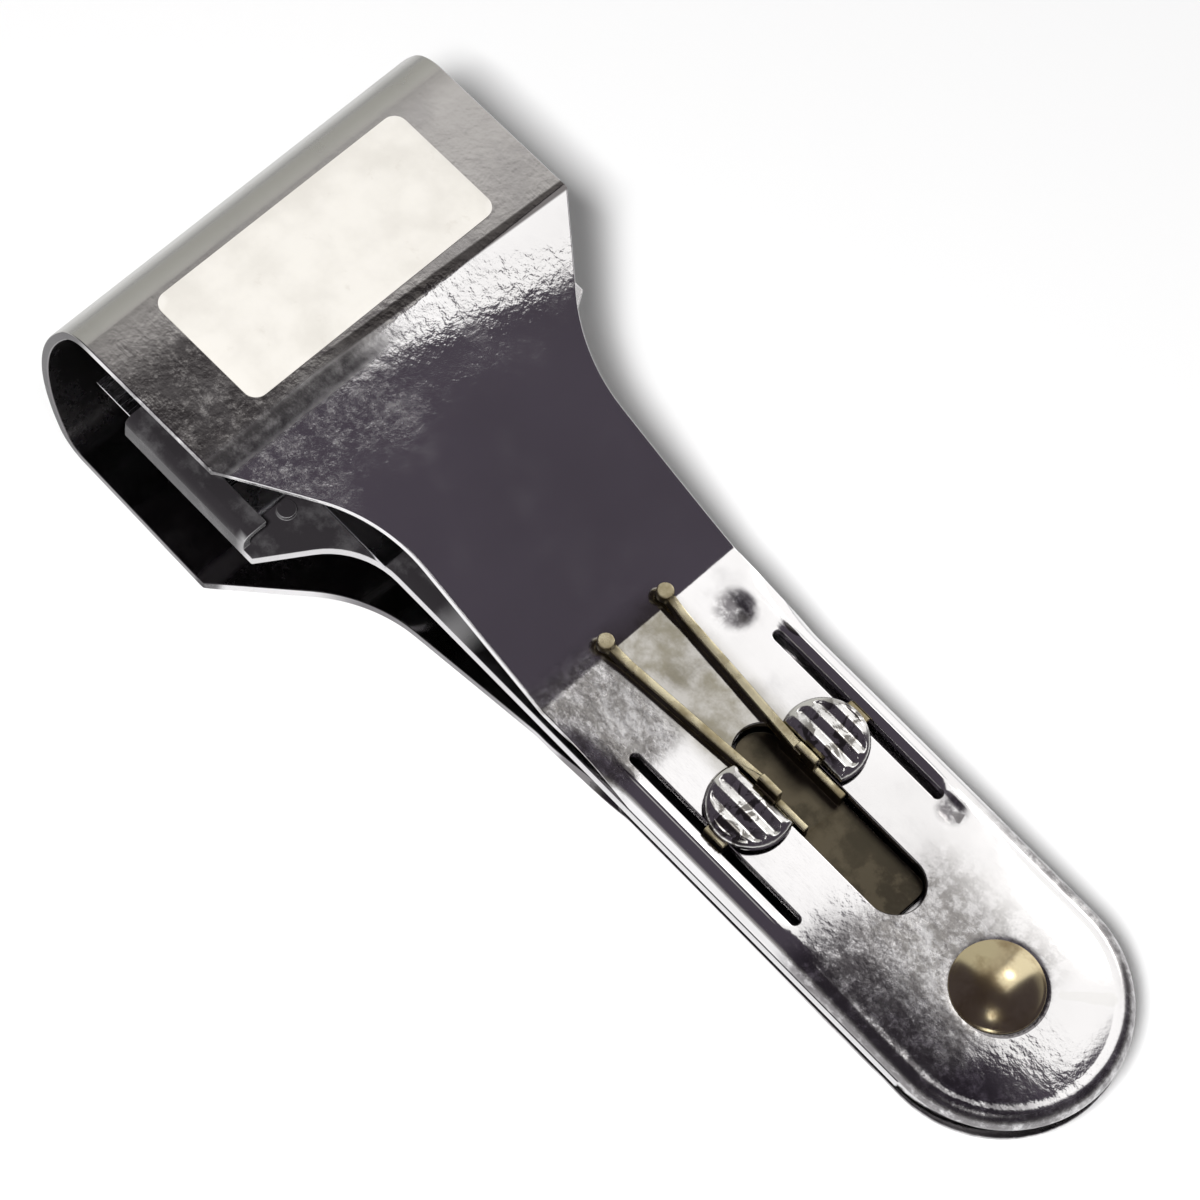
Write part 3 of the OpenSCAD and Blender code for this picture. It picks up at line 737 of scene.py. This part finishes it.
def round_slot(from_x, to_x, y, width, step=0.4):
    """Outline of a slot with round ends."""
    r = width / 2
    turns = max(4, round(math.pi * r / step))
    front = [(to_x - r + r * math.sin(a), y - r * math.cos(a))
             for a in np.linspace(0, math.pi, turns + 1)]
    rear = [(from_x + r - r * math.sin(a), y + r * math.cos(a))
            for a in np.linspace(0, math.pi, turns + 1)]
    count = max(2, round((to_x - from_x - width) / step))
    upper = [(x, y + r) for x in np.linspace(to_x - r, from_x + r, count + 1)[1:-1]]
    lower = [(x, y - r) for x in np.linspace(from_x + r, to_x - r, count + 1)[1:-1]]
    return np.array(front + upper + rear + lower)


def rows():
    """Places along the blank, closer together where it bends."""
    ends = [(32.0, 0.8), (KNEE_X - KNEE_HALF, 0.5), (KNEE_X + KNEE_HALF, 0.15), (60.0, 1.0),
            (CREASE_X - CREASE_HALF, 0.5), (CREASE_X + CREASE_HALF, 0.12), (TANGENT_X, 0.9),
            (BOW_START, 0.3), (BLANK_END, 0.8)]
    places, low = [], -TAIL_SET
    for high, step in ends:
        places.extend(np.linspace(low, high, max(2, round((high - low) / step)) + 1)[:-1])
        low = high
    return np.array(places + [BLANK_END])


def rings():
    """Places across the blank, from the middle out to the rolled rim."""
    lip = SLIT_Y + SLIT_W / 2
    rim = FLAT_R + np.linspace(0.0, float(rim_reach(1.0)), 13)
    return np.unique(np.concatenate([
        np.linspace(0.0, lip, 12), lip + np.linspace(0.1, 0.4, 4), rim]).round(5))


def blank_outline(places):
    """The blank's edge, from the fold's end at the right round the tail to the left."""
    neck, rolled = places[places > ROLL_TO], places[places <= ROLL_TO]
    right = [(u, float(half_width(min(u, CREASE_X)))) for u in neck[::-1]]
    right += [(u, FLAT_R + float(rim_reach(roll_share(u)))) for u in rolled[::-1]]
    full = FLAT_R + float(rim_reach(1.0))
    tail = [(-TAIL_SET - full * math.sin(a), full * math.cos(a)) for a in HALF_TURN]
    outline = [(u, -w) for u, w in right] + [(u, -w) for u, w in tail]
    return np.array(outline + right[::-1])


def inward(loop, closed):
    """Unit steps from the points of an outline into the sheet on its right."""
    before, after = np.roll(loop, 1, 0), np.roll(loop, -1, 0)
    if not closed:
        before[0], after[-1] = loop[0] - (loop[1] - loop[0]), loop[-1] + (loop[-1] - loop[-2])
    ways = []
    for way in (loop - before, after - loop):
        way = way / np.linalg.norm(way, axis=1, keepdims=True)
        ways.append(np.stack([way[:, 1], -way[:, 0]], 1))
    middle = ways[0] + ways[1]
    return middle / np.maximum((middle * ways[0]).sum(1, keepdims=True), 0.5)


def inside_loop(points, loop):
    """Which points lie inside a closed loop."""
    x, y = points[:, :1], points[:, 1:]
    ax, ay = loop[:, 0][None], loop[:, 1][None]
    bx, by = np.roll(loop[:, 0], -1)[None], np.roll(loop[:, 1], -1)[None]
    crosses = (ay > y) != (by > y)
    with np.errstate(divide="ignore", invalid="ignore"):
        at = (bx - ax) * (y - ay) / (by - ay) + ax
    return (crosses & (x < at)).sum(1) % 2 == 1


def distance_to_loop(points, loop):
    """How far each point is from a closed loop."""
    a, b = loop, np.roll(loop, -1, 0)
    d = b - a
    length = np.maximum((d ** 2).sum(1), 1e-12)
    offset = points[:, None] - a[None]
    share = np.clip((offset * d[None]).sum(2) / length[None], 0, 1)
    return np.sqrt(((offset - share[..., None] * d[None]) ** 2).sum(2)).min(1)


def fill_blank(outline, holes, points, margin):
    """Triangles between an outline and its holes, through the given inner points."""
    keep = inside_loop(points, outline) & (distance_to_loop(points, outline) > margin)
    for hole in holes:
        keep &= ~inside_loop(points, hole) & (distance_to_loop(points, hole) > margin)
    loops = [outline, *holes]
    coords = np.concatenate([*loops, points[keep]])
    edges, start = [], 0
    for loop in loops:
        count = len(loop)
        edges += [(start + i, start + (i + 1) % count) for i in range(count)]
        start += count
    made = geometry.delaunay_2d_cdt([Vector(c) for c in coords], edges, [], 0, 1e-7, False)
    out = np.array([tuple(v) for v in made[0]])
    faces = np.array([tuple(f) for f in made[2]])
    middles = out[faces].mean(1)
    inside = inside_loop(middles, outline)
    for hole in holes:
        inside &= ~inside_loop(middles, hole)
    return out, faces[inside]


class Sheet:
    """Points, normals and faces of the handle, joined up where the points agree."""

    def __init__(self):
        self.points, self.normals, self.faces, self.count = [], [], [], 0

    def add(self, points, normal, faces, upper):
        flip = np.array([1.0, 1.0, 1.0 if upper else -1.0])
        self.points.append(points * flip)
        self.normals.append(normal * flip)
        order = 1 if upper else -1
        self.faces += [tuple(int(i) + self.count for i in face[::order]) for face in faces]
        self.count += len(points)

    def joined(self):
        points, normal = np.concatenate(self.points), np.concatenate(self.normals)
        keys = np.round(points / 1e-5).astype(np.int64)
        _, first, same = np.unique(keys, axis=0, return_index=True, return_inverse=True)
        same = same.reshape(-1)
        total = np.zeros((len(first), 3))
        np.add.at(total, same, normal)
        total /= np.maximum(np.linalg.norm(total, axis=1, keepdims=True), 1e-9)
        faces = [tuple(int(same[i]) for i in face) for face in self.faces]
        return points[first], total, [f for f in faces if len(set(f)) == len(f)]


def edge_strip(sheet, loop, step, closed, upper):
    """The sheet's round edge along an outline, from its outer face to its inner one."""
    turns = np.radians([0.0, 30.0, 60.0, 90.0])
    rings = [(EDGE_ROUND * (1 - math.sin(a)), EDGE_ROUND * (1 - math.cos(a)), a) for a in turns]
    rings += [(inset, SHEET - depth, math.pi - a) for inset, depth, a in rings[::-1]]
    count, points, normal = len(loop), [], []
    for inset, depth, turn in rings:
        place, out, along = sheet_points(single(loop + step * inset), depth, upper)
        side = -(step[:, :1] * along[0] + step[:, 1:] * along[1])
        side /= np.linalg.norm(side, axis=1, keepdims=True)
        points.append(place)
        normal.append(math.cos(turn) * out + math.sin(turn) * side)
    faces = []
    for k in range(len(rings) - 1):
        for i in range(count if closed else count - 1):
            a, b = k * count + i, k * count + (i + 1) % count
            faces.append((a, b, b + count, a + count))
    sheet.add(np.concatenate(points), np.concatenate(normal), faces, upper)


def single(points):
    """Rounded to single precision, as the triangles' corners come back."""
    return points.astype(np.float32).astype(float)


def leaf(sheet, upper):
    """One leaf: its outer and inner faces and the round edges between them."""
    places, across = rows(), rings()
    narrow = [(u, side * v) for u in places[places < ROLL_TO] for v in across
              for side in (-1, 1)]
    wide = [(u, v) for u in places[places >= ROLL_TO] for v in HEAD_COLUMNS]
    tail = [(-TAIL_SET - v * math.sin(a), v * math.cos(a)) for v in across[1:]
            for a in HALF_TURN]
    grid = np.unique(np.array(narrow + wide + tail).round(5), axis=0)
    pressings = [(0.0, 0.0, DISH_R + RING_GAP)]
    if not upper:
        pressings.append((0.0, DIMPLE_Y, DIMPLE_R + RING_GAP))
    inner = []
    for cx, cy, reach in pressings:
        grid = grid[np.hypot(grid[:, 0] - cx, grid[:, 1] - cy) > reach + RING_GAP]
        for r in np.arange(reach, 0.15, -RING_STEP):
            inner.append(circle(cx, cy, r, max(8, min(96, round(2 * math.pi * r / 0.3)))))
    holes = [circle(0.0, 0.0, RIVET_HOLE_R, 48)]
    if upper:
        holes.append(round_slot(SLOT_X, SLOT_FRONT_X, 0.0, SLOT_W))
        for side in (-1, 1):
            holes.append(round_slot(PAD_X - SLIT_L / 2, PAD_X + SLIT_L / 2,
                                    side * SLIT_Y, SLIT_W, 0.2))
    outline = blank_outline(places)
    step = inward(outline, False)
    edge_strip(sheet, outline, step, False, upper)
    around = single(outline + step * EDGE_ROUND)
    front = [(BLANK_END, y) for y in HEAD_COLUMNS[::-1][1:-1]]
    inner.append(outline + step * (EDGE_ROUND + EDGE_ROW))
    inset_holes = []
    for hole in holes:
        step = inward(hole, True)
        edge_strip(sheet, hole, step, True, upper)
        inset_holes.append(single(hole + step * EDGE_ROUND))
        inner.append(hole + step * (EDGE_ROUND + HOLE_ROW))
    loop = np.concatenate([around, single(np.array(front))])
    blank, faces = fill_blank(loop, inset_holes, np.concatenate([grid, *inner]), FILL_GAP)
    for depth, order in ((0.0, 1), (SHEET, -1)):
        points, out, _ = sheet_points(blank, depth, upper)
        sheet.add(points, out * order, faces[:, ::order], upper)


def handle():
    """The folded strip: two leaves that meet at the front of the fold."""
    sheet = Sheet()
    leaf(sheet, True)
    leaf(sheet, False)
    points, normal, faces = sheet.joined()
    piece = new_piece("handle_sheet", points, faces, PLATE, "handle",
                      "handle_shell")
    piece.data.shade_smooth()
    piece.data.normals_split_custom_set_from_vertices([tuple(n) for n in normal])


# Small pieces

def turned(profile, count=96):
    """Points and faces of a turned shape from (radius, height) points, closed at radius 0."""
    points, faces, starts = [], [], []
    for r, z in profile:
        starts.append(len(points))
        if r < 1e-6:
            points.append((0.0, 0.0, z))
        else:
            points += [(x, y, z) for x, y in circle(0.0, 0.0, r, count)]
    closed = [r < 1e-6 for r, _ in profile]
    for i in range(len(profile) - 1):
        a, b = starts[i], starts[i + 1]
        for k in range(count):
            n = (k + 1) % count
            if closed[i]:
                faces.append((a, b + k, b + n))
            elif closed[i + 1]:
                faces.append((a + k, b, a + n))
            else:
                faces.append((a + k, b + k, b + n, a + n))
    return points, faces


def rounded(points, radius, steps=4):
    """A profile whose inner corners are rounded."""
    out = [points[0]]
    for before, corner, after in zip(points, points[1:], points[2:]):
        c = Vector(corner)
        a, b = Vector(before) - c, Vector(after) - c
        r = min(radius, a.length / 2, b.length / 2)
        p, q = c + a.normalized() * r, c + b.normalized() * r
        for i in range(steps + 1):
            t = i / steps
            out.append(tuple(p * (1 - t) ** 2 + c * 2 * t * (1 - t) + q * t ** 2))
    return out + [points[-1]]


def rivet():
    """A domed head in the dish, a shank, and a clenched end."""
    head_r, head_h, shank_r, end_r, end_h = 4.3, 1.9, 2.0, 3.2, 0.6
    dimple_r, dimple_h = 0.9, 0.18
    base = FLAT_H - DISH_H
    seat = FLAT_H - FIT_GAP
    top = base + head_h
    cap = (head_r ** 2 + (top - seat) ** 2) / (2 * (top - seat))
    dome = [(cap * math.sin(a), top - cap + cap * math.cos(a))
            for a in np.linspace(0, math.asin(head_r / cap) * 0.93, 26)]
    edge = rounded([dome[-1], (head_r, seat + 0.1), (head_r - 0.15, seat - 0.1),
                    (DISH_FLOOR_R, base)], 0.25)
    shank = [(shank_r, base), (shank_r, -base)]
    low = -base - end_h
    end = rounded([(end_r - end_h / 2, -base), (end_r, -base - end_h / 2),
                   (end_r - 0.2, low + 0.05), (dimple_r, low)], 0.2)
    points, faces = turned(dome + edge[1:] + shank + end + [(0.0, low + dimple_h)])
    piece = new_piece("rivet", points, faces, RIVET_BRASS, "handle",
                      "pivot_rivet")
    faces_out(piece)
    shade(piece, 60.0)


def label():
    """Paper on the plate in front of the crease, its edges pressed down."""
    width, length, corner, shift = 28.8, 13.2, 1.3, 0.5
    start, thickness, glue, ripple_h, curl = 2.4, 0.13, 0.02, 0.018, 0.05
    far, half = length - corner, width / 2 - corner
    outline = np.array([
        (cx + corner * math.cos(math.radians(turn + a)),
         cy + corner * math.sin(math.radians(turn + a)))
        for cx, cy, turn in ((far, half, 0), (corner, half, 90), (corner, -half, 180),
                             (far, -half, 270))
        for a in np.linspace(0, 90, 9)])
    grid = np.array([(x, y) for x in np.arange(0.4, length, 0.6)
                     for y in np.arange(-width / 2 + 0.4, width / 2, 0.6)])
    flat, faces = fill_blank(outline, [], grid, 0.2)
    edge = distance_to_loop(flat, outline)
    ripple = ripple_h * np.sin(flat[:, 0] * 0.9 + 0.7) * np.sin(flat[:, 1] * 0.55 + 0.4)
    lift = thickness + glue + ripple * smooth(edge / 2.0) - curl * (1 - smooth(edge / 0.5))
    along = Vector((math.cos(FALL), 0, -math.sin(FALL)))
    up = Vector((math.sin(FALL), 0, math.cos(FALL)))
    corner_point = Vector((CREASE_X, -shift, CREASE_H))
    points = [corner_point + along * (start + x) + Vector((0, y, 0)) + up * h
              for (x, y), h in zip(flat, lift)]
    piece = new_piece("label_paper", points, [tuple(map(int, f)) for f in faces], PAPER,
                      "handle", "label")
    modify(piece, "SOLIDIFY", thickness=thickness * MM, offset=-1.0)
    shade(piece, 40.0)


def thumb_pad(name, side):
    """A domed round pad, cut straight at the slide's wall, with ribs along the slide."""
    base = FLAT_H + FIT_GAP + SLIDE_T - SLIP_GAP
    cut = SLOT_W / 2 + SLIP_GAP / 2
    centre = SLOT_W / 2 - SLIP_GAP + PAD_R / 2
    turn = math.acos((cut - centre) / PAD_R)
    arc = [(PAD_X + PAD_R * math.sin(a), centre + PAD_R * math.cos(a))
           for a in np.linspace(-turn, turn, 73)]
    chord = [(x, cut) for x in np.linspace(arc[-1][0], arc[0][0], 24)[1:-1]]
    outline = np.array(arc + chord)
    xs = np.arange(PAD_X - PAD_R, PAD_X + PAD_R, 0.16)
    ys = np.arange(cut, centre + PAD_R, 0.075)
    grid = np.array([(x, y) for x in xs for y in ys])
    flat, faces = fill_blank(outline, [], grid, 0.05)
    edge = distance_to_loop(flat, outline)
    away = np.hypot(flat[:, 0] - PAD_X, flat[:, 1] - centre)
    rib = np.cos((flat[:, 1] - centre - RIB_Y) * 2 * math.pi / RIB_PITCH)
    inner = smooth((PAD_R - RIB_IN - away) / RIB_RUN)
    round_off = 1 - np.sqrt(1 - (1 - np.clip(edge / PAD_EDGE, 0, 1)) ** 2)
    top = (PAD_H - RIB_DROP + RIB_H * inner * rib - PAD_CROWN * away ** 2
           - PAD_EDGE_H * round_off)
    upper = [(x, side * y, base + h) for (x, y), h in zip(flat, top)]
    lower = [(x, side * y, base) for x, y in outline]
    count, ring = len(upper), len(lower)
    made = [tuple(map(int, f)) for f in faces]
    nearest = [int(np.argmin(np.hypot(*(flat - p).T))) for p in outline]
    for i in range(ring):
        n = (i + 1) % ring
        made.append((nearest[i], nearest[n], count + n, count + i))
    made.append(tuple(count + i for i in range(ring)))
    piece = new_piece(name, upper + lower, made, PAD_CHROME, "lock",
                      name.replace("_dressed", ""))
    faces_out(piece)
    shade(piece, 55.0)


handle()
label()
rivet()
for node, dressed, metal, body, slot, width in (
        ("pivot_washer", "washer", PLAIN_STEEL, "handle", "plain_steel", 0.08),
        ("blade_carrier", "carrier", CARRIER_STEEL, "carrier", "carrier_steel", 0.12),
        ("index_plate", "index", PLAIN_STEEL, "carrier", "plain_steel", 0.08),
        ("blade_keeper", "keeper", SPRING_STEEL, "carrier", "spring_steel", 0.06),
        ("keeper_rivets", "keeper_rivets", PLAIN_STEEL, "carrier", "plain_steel", 0.15),
        ("razor_blade", "blade", BLADE_STEEL, "carrier", "blade_steel", 0.01),
        ("blade_spine", "spine", SPINE_STEEL, "carrier", "spine_steel", 0.05),
        ("lock_slide", "slide", SLIDE_BRASS, "lock", "slide_brass", 0.12)):
    softened_node(node, dressed + "_dressed", metal, body, width)
thumb_pad("thumb_pad_left_dressed", 1)
thumb_pad("thumb_pad_right_dressed", -1)


# The photograph's view, from a camera fitted to the outline
VIEW_TURN, VIEW_TILT, VIEW_ROLL = 123.55, 65.80, -13.85     # degrees
VIEW_DISTANCE = 462.2                                        # millimetres
VIEW_AIM = (49.01, -0.38, 0.0)                               # about the rivet
VIEW_LENS, SENSOR = 158.34, 36.0                             # millimetres

TABLE_TIP = 3.5        # degrees: the turned-out carrier clears a table tipped this far
TABLE_R = 3.0          # metres
LAMP_AWAY = 0.9        # metres
MATT_SHARE = 0.2       # of the surroundings' light that matt things take


def camera():
    """The photograph's camera."""
    turn, tilt = math.radians(VIEW_TURN), math.radians(VIEW_TILT)
    back = Vector((math.cos(turn) * math.cos(tilt), math.sin(turn) * math.cos(tilt),
                   math.sin(tilt)))
    level = back.to_track_quat("Z", "Y").to_matrix()
    data = bpy.data.cameras.new("camera")
    data.lens, data.sensor_width, data.sensor_fit = VIEW_LENS, SENSOR, "HORIZONTAL"
    data.clip_start, data.clip_end = 0.01, 10.0
    made = linked("camera", data)
    spin = Matrix.Rotation(math.radians(-VIEW_ROLL), 3, "Z")
    aim = PIVOT + Vector(VIEW_AIM) * MM
    made.matrix_world = (Matrix.Translation(aim + back * VIEW_DISTANCE * MM)
                         @ (level @ spin).to_4x4())
    bpy.context.scene.camera = made


def floor():
    """A plain white table that the scraper's lower crease rests on."""
    tip = math.radians(TABLE_TIP)
    contact = Vector((row_x(CREASE_X), 0, 0))
    mesh = bpy.data.meshes.new("floor")
    corners = [(x * TABLE_R, y * TABLE_R, 0) for x, y in ((-1, -1), (1, -1), (1, 1), (-1, 1))]
    mesh.from_pydata(corners, [], [(0, 1, 2, 3)])
    made = linked("floor", mesh)
    made.matrix_world = Matrix.Translation(contact) @ Matrix.Rotation(tip, 4, "Y")
    white = Shade("floor white", 0.0, 0.9, 0.0)
    white.colour((0.97, 0.97, 0.97))
    mesh.materials.append(white.material)


def studio():
    """Soft studio surroundings: one bright side, a dark overhead and a pale horizon."""
    scene = bpy.context.scene
    scene.view_settings.view_transform = "Standard"
    surroundings = bpy.data.worlds.new("studio")
    scene.world = surroundings
    surroundings.use_nodes = True
    w = Nodes(surroundings.node_tree, "Generated")
    x, y, z = w.split(w.place)

    def spot(direction, reach):
        """1 within a small angle round a direction, with a soft edge."""
        toward = w.vector("DOT_PRODUCT", w.place, Vector(direction).normalized())["Value"]
        return w.ramp(toward, math.cos(math.radians(reach * 1.25)),
                      math.cos(math.radians(reach * 0.75)))

    # Pale up to the horizon, then grey, and dark overhead, which the neck mirrors
    room = w.mix(w.ramp(z, 0.10, 0.16), (0.72, 0.72, 0.72), (0.34, 0.33, 0.32))
    room = w.mix(w.ramp(z, 0.22, 0.50), room, (0.074, 0.063, 0.080))
    room = w.mix(spot((-0.30, 0.30, 0.90), 5.0), room, (3.0, 3.0, 2.9))
    # A panel that the plate by the label and the fold mirror, dark on one side
    slant = w.minus(w.product(x, 1.5), y)
    panel = w.mix(w.ramp(slant, 0.885, 0.930), (0.085, 0.075, 0.075), (0.62, 0.60, 0.57))
    panel = w.mix(w.ramp(x, 0.46, 0.60), panel, (0.66, 0.655, 0.61))
    at_panel = w.product(w.ramp(x, 0.31, 0.35), w.ramp(y, -0.13, -0.24), w.ramp(z, 0.02, 0.10))
    room = w.mix(at_panel, room, panel)
    # A window that the flat handle mirrors, with a small light in it
    window = w.product(w.ramp(y, -0.265, -0.325), w.ramp(x, -0.17, -0.09),
                       w.ramp(x, 0.31, 0.265))
    room = w.mix(window, room, (1.24, 1.23, 1.21))
    room = w.mix(spot((0.10, -0.60, 0.79), 5.5), room, (5.0, 4.9, 4.7))
    background = w.tree.nodes["Background"]
    w.set(background.inputs["Color"], room)
    # The surroundings are a background: they add less to matt things than metal mirrors
    path = w.node("ShaderNodeLightPath")
    mirrored = w.most(path["Is Camera Ray"], path["Is Glossy Ray"],
                      path["Is Transmission Ray"])
    w.set(background.inputs["Strength"],
          w.total(w.product(mirrored, 1.0 - MATT_SHARE), MATT_SHARE))


def lamp(name, direction, size, power):
    """A soft lamp that aims at the scraper and isn't mirrored in it."""
    data = bpy.data.lights.new(name, "AREA")
    data.size, data.energy = size, power
    made = linked(name, data)
    toward = Vector(direction).normalized()
    made.location = toward * LAMP_AWAY
    made.rotation_euler = toward.to_track_quat("Z", "Y").to_euler()
    made.visible_glossy = False


camera()
floor()
studio()
lamp("main_lamp", (-0.132, 0.430, 0.90), 0.14, 8.3)
lamp("side_lamp", (-0.226, 0.143, 0.986), 0.20, 1.1)
